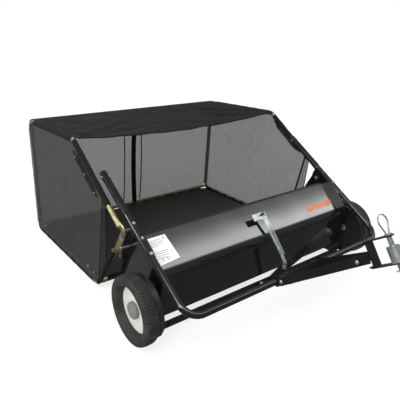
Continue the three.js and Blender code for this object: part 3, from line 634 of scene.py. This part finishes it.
def build_brush():
    pitch = 2 * (INNER_X - 8) / 4
    cy, cz = BRUSH_AXIS
    for i in range(4):
        x0 = -INNER_X + 8 + pitch * i + (pitch - BRUSH_LENGTH) / 2
        shape = Shape()
        core = [(0, 0), (23, 0), (24, 1), (24, BRUSH_LENGTH - 1), (23, BRUSH_LENGTH), (0, BRUSH_LENGTH)]
        shape.add(*turned(core, (x0, cy, cz), (1, 0, 0), 24))
        for row in range(2 * BRUSH_ROWS):
            turn = math.radians(242 + 5 * (i % 2)) + math.pi * row / BRUSH_ROWS
            for k in range(38):
                x = x0 + 3 + k * (BRUSH_LENGTH - 6) / 37
                for _ in range(3):
                    lean, drift = rng.normal(0, 0.07), rng.normal(0, 2.2)
                    reach = BRUSH_RADIUS * (0.975 + 0.025 * rng.random())
                    a, b = turn, turn + lean
                    root = (x, cy + 20 * math.cos(a), cz + 20 * math.sin(a))
                    tip = (x + drift, cy + reach * math.cos(b), cz + reach * math.sin(b))
                    shape.add(*swept([root, tip], [1.9, 1.3], 3))
        shape.piece(f"brush_bristles_{i + 1}", BRISTLE, "brush", replaces=(f"brush_{i + 1}",), slot="bristle")


# ---- hopper ----

def side_loop(sign):
    start, finish = ahead_of(DUMP_PIVOT, SLANT, 20), ahead_of(DUMP_PIVOT, BRACKET, 130)
    corners = [start, TOP_FRONT, TOP_REAR, FLOOR_REAR, FLOOR_FRONT, finish]
    return rounded([(sign * HOPPER_X, *c) for c in corners], 34, 10)


def crumpled(path, radius, seed):
    """A tube of cloth round a hopper tube: it bunches a little along its length."""
    path = np.asarray(path, float)
    local = np.random.default_rng(seed)
    bunch = 0.45 * np.sin(np.arange(len(path)) * 0.9 + seed) + local.normal(0, 0.22, len(path))
    radii = radius + bunch
    radii[0] = radii[-1] = radius - 0.8
    return swept(path, radii, 18)


def nearest_on(fine, corner):
    """How far along a path, with a point each 2 mm, it passes nearest to a (y, z) corner."""
    return 2 * int(np.argmin(np.linalg.norm(fine[:, 1:] - np.array(corner), axis=1)))


def build_hopper_tubes():
    for side, sign in SIDES:
        loop = side_loop(sign)
        made(f"{side}_frame_tube", *swept(resampled(loop, 9), HOPPER_TUBE, 20), GOLD, "hopper",
             (f"{side}_hopper_frame",), "yellow_zinc")
        fine = resampled(loop, 2)
        top_front, top_rear, floor_rear, floor_front = (
            nearest_on(fine, corner) for corner in (TOP_FRONT, TOP_REAR, FLOOR_REAR, FLOOR_FRONT))
        seam = nearest_on(fine[:top_front // 2], SKIRT_TOP)
        stretches = {
            "front": (seam - 6, top_front - (6 if sign < 0 else 22)), "top": (top_front + 6, top_rear - 52),
            "rear": (top_rear + 26, floor_rear - 12), "floor": (floor_rear - 4, floor_front - 28),
            "low": (floor_front + 6, 2 * len(fine)),
        }
        for k, (name, (a, b)) in enumerate(stretches.items()):
            drop = np.array([0, 0, -2.2 if name == "floor" else 0])
            # The rear sleeves take the light grey of painted light, not the dark sleeve cloth.
            finish = REAR_SLEEVE_PAINTED_LIGHT if name == "rear" else SKIRT_CLOTH
            made(f"{side}_{name}_sleeve", *crumpled(part_of(loop, a, b, 11) + drop, 11.2, 3 * k + (sign > 0)),
                 finish, "hopper", slot="cloth")
    bars = {"top_rear_tube": (*REAR_TOP, [(-520, -110), (-70, 16), (50, 520)]),
            "floor_rear_tube": (*REAR_LOW, [(-520, -130), (-62, 506)]),
            "floor_front_tube": (FLOOR_FRONT[0] + 4, FLOOR_FRONT[1] + 5, [(-515, 515)])}
    for name, (y, z, sleeves) in bars.items():
        reach = HOPPER_X - HOPPER_TUBE - 0.9
        made(f"{name}_round", *swept(resampled([(-reach, y, z), (reach, y, z)], 40), HOPPER_TUBE - 1, 20),
             GOLD, "hopper", (name,), "yellow_zinc")
        for k, (a, b) in enumerate(sleeves):
            drop = 2.4 if name == "floor_rear_tube" else 0
            line = [(a, y + drop, z - drop), (b, y + drop, z - drop)]
            made(f"{name}_sleeve_{k + 1}", *crumpled(resampled(line, 12), 10.6, 40 + k), SKIRT_CLOTH,
                 "hopper", slot="cloth")


def edge_distance(points, outline):
    """How far each (u, v) point is from a closed outline."""
    best = np.full(len(points), 1e9)
    for a, b in zip(outline, np.roll(outline, -1, axis=0)):
        run = b - a
        share = np.clip(((points - a) @ run) / max(run @ run, 1e-9), 0, 1)
        best = np.minimum(best, np.linalg.norm(points - (a + share[:, None] * run), axis=1))
    return best


def fold_heights(points, folds):
    """The height of each fold at (u, v) points. A fold is (start, end, width, height)."""
    for start, end, width, height in folds:
        start, end = np.array(start, float), np.array(end, float)
        run = end - start
        share = np.clip(((points - start) @ run) / (run @ run), 0, 1)
        off = np.linalg.norm(points - (start + share[:, None] * run), axis=1)
        yield height * np.exp(-(off / width) ** 2) * np.sin(np.pi * share) ** 0.5


class Panel:
    """A stretched panel of cloth: an outline in (u, v), and its depth as sag plus folds."""

    def __init__(self, outline, sag, reach, folds=(), ripple=0.6, seed=0):
        self.outline = np.asarray(outline, float)
        self.sag, self.reach, self.folds, self.ripple, self.seed = sag, reach, folds, ripple, seed

    def depth(self, points):
        points = np.asarray(points, float)
        edge = edge_distance(points, self.outline)
        rise = 1 - np.exp(-(edge / self.reach) ** 1.2)
        depth = self.sag * rise
        for height in fold_heights(points, self.folds):
            depth += height * np.clip(edge / 12, 0, 1)
        local = np.random.default_rng(self.seed)
        for _ in range(7):
            angle, length = local.uniform(0, math.pi), local.uniform(90, 260)
            phase = (points @ [math.cos(angle), math.sin(angle)]) * 2 * np.pi / length + local.uniform(0, 6)
            depth += self.ripple * np.sin(phase) * rise
        return depth

    def grid(self, rings=26, step=9):
        """Rings that shrink from the outline to its middle."""
        outline = resampled(np.vstack([self.outline, self.outline[:1]]), step)[:-1]
        centre = outline.mean(0)
        shares = np.linspace(1, 0, rings + 1)[:-1] ** 0.92
        points = np.vstack([centre + (outline - centre) * s for s in shares] + [centre[None]])
        n = len(outline)
        faces = grid_faces(rings, n, close_columns=True)
        last = (rings - 1) * n
        faces += [(last + j, last + (j + 1) % n, len(points) - 1) for j in range(n)]
        return points, faces, outline


def ribbon(line, lift, width, to_space):
    """A narrow tape on a panel, following a line in (u, v)."""
    line = resampled(line, 10)
    tangent = directions(line)
    across = np.column_stack([-tangent[:, 1], tangent[:, 0]]) * width / 2
    rings = [to_space(line - across, lift), to_space(line + across, lift), to_space(line + across, -lift),
             to_space(line - across, -lift)]
    points = np.stack(rings, axis=1).reshape(-1, 3)
    return points, grid_faces(len(line), 4, close_columns=True) + end_caps(4, len(points))


def build_side_cloth():
    mesh_outline = rounded_loop([SEAM_TOP, TOP_FRONT, TOP_REAR, FLOOR_REAR,
                                 (FLOOR_FRONT[0], FLOOR_FRONT[1] - 2), SEAM_LOW], (2, 30, 30, 30, 12, 2))
    skirt_outline = rounded_loop([SKIRT_TOP, SEAM_TOP, SEAM_LOW, (330, 60), SKIRT_LOW], (4, 3, 3, 20, 6))
    for side, sign in SIDES:
        folds = [((540, 560), (700, 250), 26, 4.5), ((1010, 560), (820, 300), 28, 4),
                 ((1040, 40), (820, 220), 30, 4), ((470, 60), (640, 200), 24, 3.5),
                 ((1020, 500), (1000, 120), 34, 3)]
        panel = Panel(mesh_outline, 13, 95, folds, 0.15, 5)

        def on_mesh(points, lift=0.0, panel=panel, sign=sign):
            x = sign * (HOPPER_X + 9 - panel.depth(points)) + sign * lift
            return np.column_stack([x, points])

        points, faces, outline = panel.grid(30, 10)
        if sign < 0:
            faces = [f[::-1] for f in faces]
        piece = made(f"{side}_mesh_cloth", on_mesh(points), faces, SIDE_MESH, "hopper",
                     (f"{side}_mesh",), "mesh", 80)
        seam = [(SEAM_TOP[0] + 4, SEAM_TOP[1] - 4), (SEAM_LOW[0] + 4, SEAM_LOW[1] + 4)]
        trim = made(f"{side}_mesh_seams", *ribbon(seam, 1.0, 7, on_mesh), SKIRT_CLOTH, "hopper", slot="cloth")
        middle = [ahead_of(ahead_of(DUMP_PIVOT, SLANT, s), SLANT, 0, -26) for s in (415, 300, 185)]
        flap = made(f"{side}_sleeve_flap", *flap_strip(middle, sign), SKIRT_CLOTH, "hopper", slot="cloth")
        snaps = Shape()
        for s in (390, 297, 204):
            y, z = ahead_of(ahead_of(DUMP_PIVOT, SLANT, s), SLANT, 0, -30)
            spot = (sign * (HOPPER_X + 12.6), y, z)
            snaps.add(*turned([(0, -1), (4.5, -1), (5, 0.6), (3, 2), (0, 2.4)], spot, (sign, 0, 0), 18))
        for y, z in ((456, 68), (401, 62), (356, 58)):
            spot = (sign * (HOPPER_X + 7), y, z)
            eyelet = [(3, -6), (7, -6), (7, 1), (6, 2), (4, 2), (3, 1), (3, -6)]
            snaps.add(*turned(eyelet, spot, (sign, 0, 0), 20))
        snaps.piece(f"{side}_snaps", GOLD, "hopper", slot="yellow_zinc")

        skirt = Panel(skirt_outline, -5, 40, [((300, 380), (330, 120), 14, -3)], 0.5, 9)
        points, faces, outline = skirt.grid(14, 9)
        if sign < 0:
            faces = [f[::-1] for f in faces]
        xs = sign * (HOPPER_X + 10 - skirt.depth(points))
        piece = made(f"{side}_skirt_cloth", np.column_stack([xs, points]), faces, SKIRT_MESH, "hopper",
                     (f"{side}_skirt",), "cloth", 80)
        edge = np.column_stack([np.full(len(outline) + 1, sign * (HOPPER_X + 10)),
                                np.vstack([outline, outline[:1]])])
        hem = made(f"{side}_skirt_hem", *swept(edge, 2.0, 8, capped=False), SKIRT_CLOTH, "hopper",
                   slot="cloth")


def flap_strip(middle, sign):
    """The sleeve's loose outer flap, a flat strip behind the slanted tube."""
    line = resampled(middle, 12)
    wave = 1.2 * np.sin(np.arange(len(line)) * 0.8)
    across = np.array([SLANT[1], -SLANT[0]]) * 15
    place, rings = np.arange(len(line)), []
    taper = np.clip(np.minimum(place, place[::-1]) / 3, 0.35, 1)[:, None]
    for lift in (11.5, 9.5):
        for edge in (-1, 1) if lift > 10 else (1, -1):
            p = line + edge * across * taper
            x = np.full(len(p), sign * (HOPPER_X + lift)) + sign * wave
            rings.append(np.column_stack([x, p]))
    points = np.stack(rings, axis=1).reshape(-1, 3)
    return points, grid_faces(len(line), 4, close_columns=True) + end_caps(4, len(points))


def rounded_loop(corners, radii):
    """A closed outline with its own radius at each corner."""
    n, path = len(corners), []
    for i in range(n):
        before, corner, after = corners[i - 1], corners[i], corners[(i + 1) % n]
        path.extend(rounded([(*before, 0), (*corner, 0), (*after, 0)], radii[i], 6)[1:-1, :2])
    return np.array(path)


def build_wide_cloth():
    half = HOPPER_X - 2
    back = unit(REAR_LOW, REAR_TOP)
    tall = math.dist(TOP_REAR, FLOOR_REAR) - 4
    outline = rounded_loop([(-half, 2), (half, 2), (half, tall), (-half, tall)], (30, 30, 26, 26))
    folds = [((-500, 520), (-250, 300), 30, 5), ((500, 520), (330, 200), 26, 6),
             ((-480, 60), (-300, 300), 30, 4), ((480, 60), (200, 240), 34, 4),
             ((396, 540), (372, 250), 14, 6), ((-300, 540), (-120, 60), 40, 3)]
    rear = Panel(outline, 16, 120, folds, 0.25, 3)

    def on_rear(points, lift=0.0):
        y = REAR_LOW[0] + back[0] * points[:, 1] + 8 - rear.depth(points) + lift
        z = REAR_LOW[1] + back[1] * points[:, 1]
        return np.column_stack([points[:, 0], y, z])

    points, faces, outline = rear.grid(34, 13)
    piece = made("rear_mesh_cloth", on_rear(points), faces, REAR_MESH, "hopper", ("rear_mesh",), "mesh", 80)
    trims = Shape()
    for x in (-58, 50):
        trims.add(*ribbon([(x - 2, 14), (x, tall - 10)], 1.2, 5.5, on_rear))
    seams = trims.piece("rear_mesh_seams", SKIRT_CLOTH, "hopper", slot="cloth")

    depth = FLOOR_REAR[0] - FLOOR_FRONT[0] - 2
    outline = rounded_loop([(-half, 0), (half, 0), (half, depth), (-half, depth)], (16, 16, 30, 30))
    folds = [((-480, 60), (-200, 300), 50, -2.5), ((480, 60), (150, 260), 50, -2.5),
             ((-400, 600), (300, 560), 46, 2)]
    floor = Panel(outline, 4, 70, folds, 0.5, 8)
    points, faces, outline = floor.grid(28, 14)
    slope = (FLOOR_REAR[1] - FLOOR_FRONT[1]) / (FLOOR_REAR[0] - FLOOR_FRONT[0])
    y = FLOOR_FRONT[0] + points[:, 1]
    z = FLOOR_FRONT[1] - 8.5 + slope * points[:, 1] + 1.5 - np.clip(floor.depth(points), -3, 1.2) * 0.8
    points = np.column_stack([points[:, 0], y, np.maximum(z, 1.5)])
    piece = made("floor_cloth_panel", points, faces, FLOOR_CLOTH, "hopper", ("hopper_floor",), "cloth", 80,
                 thickness=1.2)


def build_cover():
    """The top cover: its front edge hangs in a shallow curve and its corners pull into folds."""
    nx, ny = 120, 56
    y0, y1 = TOP_FRONT[0] - 10, TOP_REAR[0] + 2
    xs, ts = np.linspace(-1, 1, nx), np.linspace(0, 1, ny)
    width = HOPPER_X + 3
    rows = []
    folds = [((-0.98, 0.02), (-0.35, 0.5), 0.035, 7), ((-0.95, 0.05), (-0.1, 0.32), 0.04, 6),
             ((-0.9, 0.3), (-0.2, 0.8), 0.05, 4), ((0.98, 0.02), (0.3, 0.42), 0.04, 7),
             ((0.95, 0.1), (0.55, 0.75), 0.05, 6),
             ((0.9, 0.55), (0.2, 0.7), 0.05, 4.5), ((0.7, 0.9), (0.2, 0.35), 0.05, 4)]
    local = np.random.default_rng(21)
    waves = [(local.uniform(3, 9), local.uniform(2, 7), local.uniform(0, 6)) for _ in range(6)]
    for t in ts:
        sag = 27 * (1 - xs ** 2) * (1 - t) ** 1.6 + 6 * (1 - xs ** 4) * np.sin(math.pi * t)
        z = TOP_FRONT[1] + (TOP_REAR[1] - TOP_FRONT[1]) * t + 9.5 + 0 * xs
        z -= sag
        for height in fold_heights(np.column_stack([xs, np.full(nx, t)]), folds):
            z -= height
        fade = np.clip((1 - np.abs(xs)) * 12, 0, 1) * min(1, (1 - t) * 8)
        for ka, kb, phase in waves:
            z += 0.7 * np.sin(ka * xs * 3 + kb * t * 4 + phase) * fade
        edge = np.clip((np.abs(xs) - 0.985) / 0.015, 0, 1)
        y = y0 + (y1 - y0) * t - 5 * (1 - xs ** 2) * (1 - t) + 0 * xs
        rows.append(np.column_stack([xs * width, y, np.minimum(z, 609.5) - 6 * edge]))
    wrap = []
    for k, angle in enumerate(np.linspace(0.25, 1.5, 5)):
        row = rows[-1].copy()
        row[:, 1] = REAR_TOP[0] + WRAP_RADIUS * math.sin(angle) + 2
        row[:, 2] = REAR_TOP[1] + WRAP_RADIUS * math.cos(angle) + 4 - 5 * k / 4
        wrap.append(row)
    points = np.vstack(rows + wrap)
    faces = grid_faces(ny + 5, nx)
    piece = made("cover_cloth_panel", points, faces, COVER_CLOTH, "hopper", ("top_cover",), "cloth", 80,
                 thickness=1.2)
    front = rows[0] + [0, -1, -0.5]
    hem = made("cover_hem", *swept(resampled(front[2:-2], 14), 3.2, 10), SKIRT_CLOTH, "hopper", slot="cloth")


def build_strap():
    """Webbing inside the rear mesh. It twists on its way down, and has a slide buckle near its top."""
    direction, length = unit(REAR_LOW, REAR_TOP), math.dist(REAR_LOW, REAR_TOP)
    stations = np.linspace(9, length - 9, 60)
    rings = []
    for s in stations:
        share = s / length
        y, z = ahead_of(REAR_LOW, direction, s)
        twist = math.radians(62) * (1 - share) ** 0.9 - 0.25
        side = np.array([math.cos(twist), -math.sin(twist), 0])
        normal = np.array([math.sin(twist), math.cos(twist), 0])
        mid = np.array([-8 * math.sin(math.pi * share), y - 16, z])
        for a, b in ((-13, -1.1), (13, -1.1), (13, 1.1), (-13, 1.1)):
            rings.append(mid + side * a + normal * b)
    faces = grid_faces(len(stations), 4, close_columns=True) + end_caps(4, len(rings))
    strap = made("twisted_strap", rings, faces, WEB_CLOTH, "hopper", ("rear_strap",), "cloth", 50)
    y, z = ahead_of(REAR_LOW, direction, length - 100)
    buckle = Shape()
    for dz in (-13, 0, 13):
        buckle.add(*swept([(-25, y - 17, z + dz), (9, y - 17, z + dz)], 2.6, 10))
    for x in (-25, 9):
        buckle.add(*swept([(x, y - 17, z - 15), (x, y - 17, z + 15)], 2.6, 10))
    hardware = buckle.piece("strap_buckle", BLACK, "hopper", slot="black_plastic")


def build_bent_ends():
    """Each slanted tube bends down at the dump pin, flattens into the bracket and narrows to its foot."""
    stations = [(SLANT, s) for s in (96, 60, 34, 14)] + [(BRACKET, s) for s in (6, 30, 62, 100, 150, 196)]
    widths = (9.8, 10.2, 11.5, 13.5, 14.5, 15, 15, 14, 11, 8)
    thicknesses = (9.8, 9.6, 8, 6, 4.6, 4.0, 3.8, 3.6, 3.4, 3.2)
    thinnest, round_share, sides, count = 3.2, 6.6, 24, 46
    place, smooth = np.arange(len(stations)), np.linspace(0, len(stations) - 1, count)
    line = np.array([ahead_of(DUMP_PIVOT, d, s) for d, s in stations])
    line = np.column_stack([np.interp(smooth, place, line[:, k]) for k in (0, 1)])
    for _ in range(4):
        line[1:-1] = (line[:-2] + 2 * line[1:-1] + line[2:]) / 4
    wide, thick = np.interp(smooth, place, widths), np.interp(smooth, place, thicknesses)
    angles = ring_angles(sides)
    faces = grid_faces(count, sides, close_columns=True) + end_caps(sides, count * sides)
    for side, sign in SIDES:
        rings = []
        for p, (a, b), w, t in zip(line, directions(line), wide, thick):
            x = sign * (HOPPER_X - 11.6 * (1 - (t - thinnest) / round_share))
            across = np.cos(angles) * w
            xs = x + sign * np.sin(angles) * t
            rings.append(np.column_stack([xs, p[0] - b * across, p[1] + a * across]))
        made(f"{side}_bent_end", np.vstack(rings), faces, GOLD, "hopper", (f"{side}_hopper_bracket",),
             "yellow_zinc")


def build_hairpins():
    """Spring clips through the ends of the dump and stop pins."""
    for side, sign in SIDES:
        shape = Shape()
        stop = ahead_of(DUMP_PIVOT, BRACKET, 90, -(14 + 5.4))
        for (y, z), x in ((DUMP_PIVOT, 548.5), (stop, 544)):
            path = [(0, 10), (0, -14), (2, -30), (8, -41), (14, -33), (8, -16), (5.5, -4), (7.5, 5)]
            line = rounded([(sign * x, y + a, z + b) for a, b in path], 2.2, 4)
            shape.add(*swept(resampled(line, 2), 1.3, 8))
        shape.piece(f"{side}_pivot_clips", ZINC, "sweeper", slot="zinc")


# ---- stage ----

def add_camera():
    """A three-quarter view from the front left, as an exact rotation."""
    yaw, pitch, roll = 0.666951, 0.383437, -0.030386
    sy, cy, sp, cp = math.sin(yaw), math.cos(yaw), math.sin(pitch), math.cos(pitch)
    forward = Vector((sy * cp, cy * cp, -sp))
    right = Vector((cy, -sy, 0))
    down = forward.cross(right)
    image_x = math.cos(roll) * right + math.sin(roll) * down
    image_down = -math.sin(roll) * right + math.cos(roll) * down
    turn = Matrix((image_x, -image_down, -forward)).transposed()
    data = bpy.data.cameras.new("camera")
    data.sensor_width, data.lens = 36, 447.362 / 400 * 36
    data.clip_start, data.clip_end = 0.05, 60
    camera = linked("camera", data)
    camera.matrix_world = Matrix.Translation((-1.21442, -1.37065, 1.04861)) @ turn.to_4x4()
    bpy.context.scene.camera = camera


def add_floor():
    mesh = bpy.data.meshes.new("floor")
    corners = [(-12, -12), (12, -12), (12, 14), (-12, 14)]
    mesh.from_pydata([(x, y, -0.0006) for x, y in corners], [], [(0, 1, 2, 3)])
    floor = linked("floor", mesh)
    f = Finish("pale_floor", Roughness=0.9, Specular_IOR_Level=0.1, Emission_Strength=0.78,
               Emission_Color=(1, 1, 1, 1))
    mesh.materials.append(f.drive(Base_Color=f.colour(f.noise(3, 2), (0.27, 0.27, 0.27), (0.3, 0.3, 0.3))))
    floor.visible_glossy = False


def add_light():
    """White surroundings. What the glossy paint mirrors is a soft box whose lower edge is bright."""
    world = bpy.data.worlds.new("studio")
    bpy.context.scene.world = world
    world.use_nodes = True
    tree = world.node_tree
    tree.nodes.clear()
    new, link = tree.nodes.new, tree.links.new
    coords, parts, ramp = new("ShaderNodeTexCoord"), new("ShaderNodeSeparateXYZ"), new("ShaderNodeValToRGB")
    link(coords.outputs["Generated"], parts.inputs[0])
    angle, height = new("ShaderNodeMath"), new("ShaderNodeMapRange")
    angle.operation = "ARCTAN2"
    link(parts.outputs["Y"], angle.inputs[0])
    link(parts.outputs["Z"], angle.inputs[1])
    height.inputs["From Min"].default_value, height.inputs["From Max"].default_value = -math.pi, math.pi
    link(angle.outputs[0], height.inputs["Value"])
    link(height.outputs[0], ramp.inputs[0])
    stops = [(0.0, 0.01), (0.245, 0.015), (0.262, 0.03), (0.36, 0.03), (0.41, 0.05), (0.4255, 0.7),
             (0.4325, 1.0),
             (0.4395, 0.19), (0.446, 0.095), (0.47, 0.07), (0.50, 0.04), (0.75, 0.03), (1.0, 0.02)]
    elements = ramp.color_ramp.elements
    elements[0].position, elements[0].color = stops[0][0], (stops[0][1],) * 3 + (1,)
    elements[1].position, elements[1].color = stops[-1][0], (stops[-1][1],) * 3 + (1,)
    for place, value in stops[1:-1]:
        e = elements.new(place)
        e.color = (value, value, value, 1)
    path, output = new("ShaderNodeLightPath"), new("ShaderNodeOutputWorld")
    glossy, plain, camera = (new("ShaderNodeBackground") for _ in range(3))
    glossy.inputs["Strength"].default_value = 8.0
    plain.inputs["Color"].default_value = camera.inputs["Color"].default_value = (1, 1, 1, 1)
    plain.inputs["Strength"].default_value, camera.inputs["Strength"].default_value = 0.8, 1.0
    first, second = new("ShaderNodeMixShader"), new("ShaderNodeMixShader")
    for a, b in ((ramp.outputs[0], glossy.inputs["Color"]), (path.outputs["Is Glossy Ray"], first.inputs[0]),
                 (plain.outputs[0], first.inputs[1]), (glossy.outputs[0], first.inputs[2]),
                 (path.outputs["Is Camera Ray"], second.inputs[0]), (first.outputs[0], second.inputs[1]),
                 (camera.outputs[0], second.inputs[2]), (second.outputs[0], output.inputs[0])):
        link(a, b)
    for name, spot, size, power in (("key", (-2.6, -1.6, 3.4), 1.6, 60), ("side", (-3.2, 0.9, 1.5), 0.5, 14),
                                    ("back", (0.5, 3.6, 3.0), 2.6, 40)):
        data = bpy.data.lights.new(name, "AREA")
        data.size, data.energy = size, power
        light = linked(name, data)
        light.location = spot
        light.rotation_euler = (Vector((0, 0, 0.3)) - Vector(spot)).to_track_quat("-Z", "Y").to_euler()


# ---- assembly ----

dress_cad()
add_camera()
add_floor()
add_light()
build_housing()
build_stickers()
build_push_tube()
build_bolts()
build_drawbar_bolts()
build_grip()
build_wheels()
build_brush()
build_hopper_tubes()
build_side_cloth()
build_wide_cloth()
build_cover()
build_strap()
build_bent_ends()
build_hairpins()

bpy.context.scene.view_settings.view_transform = "Standard"
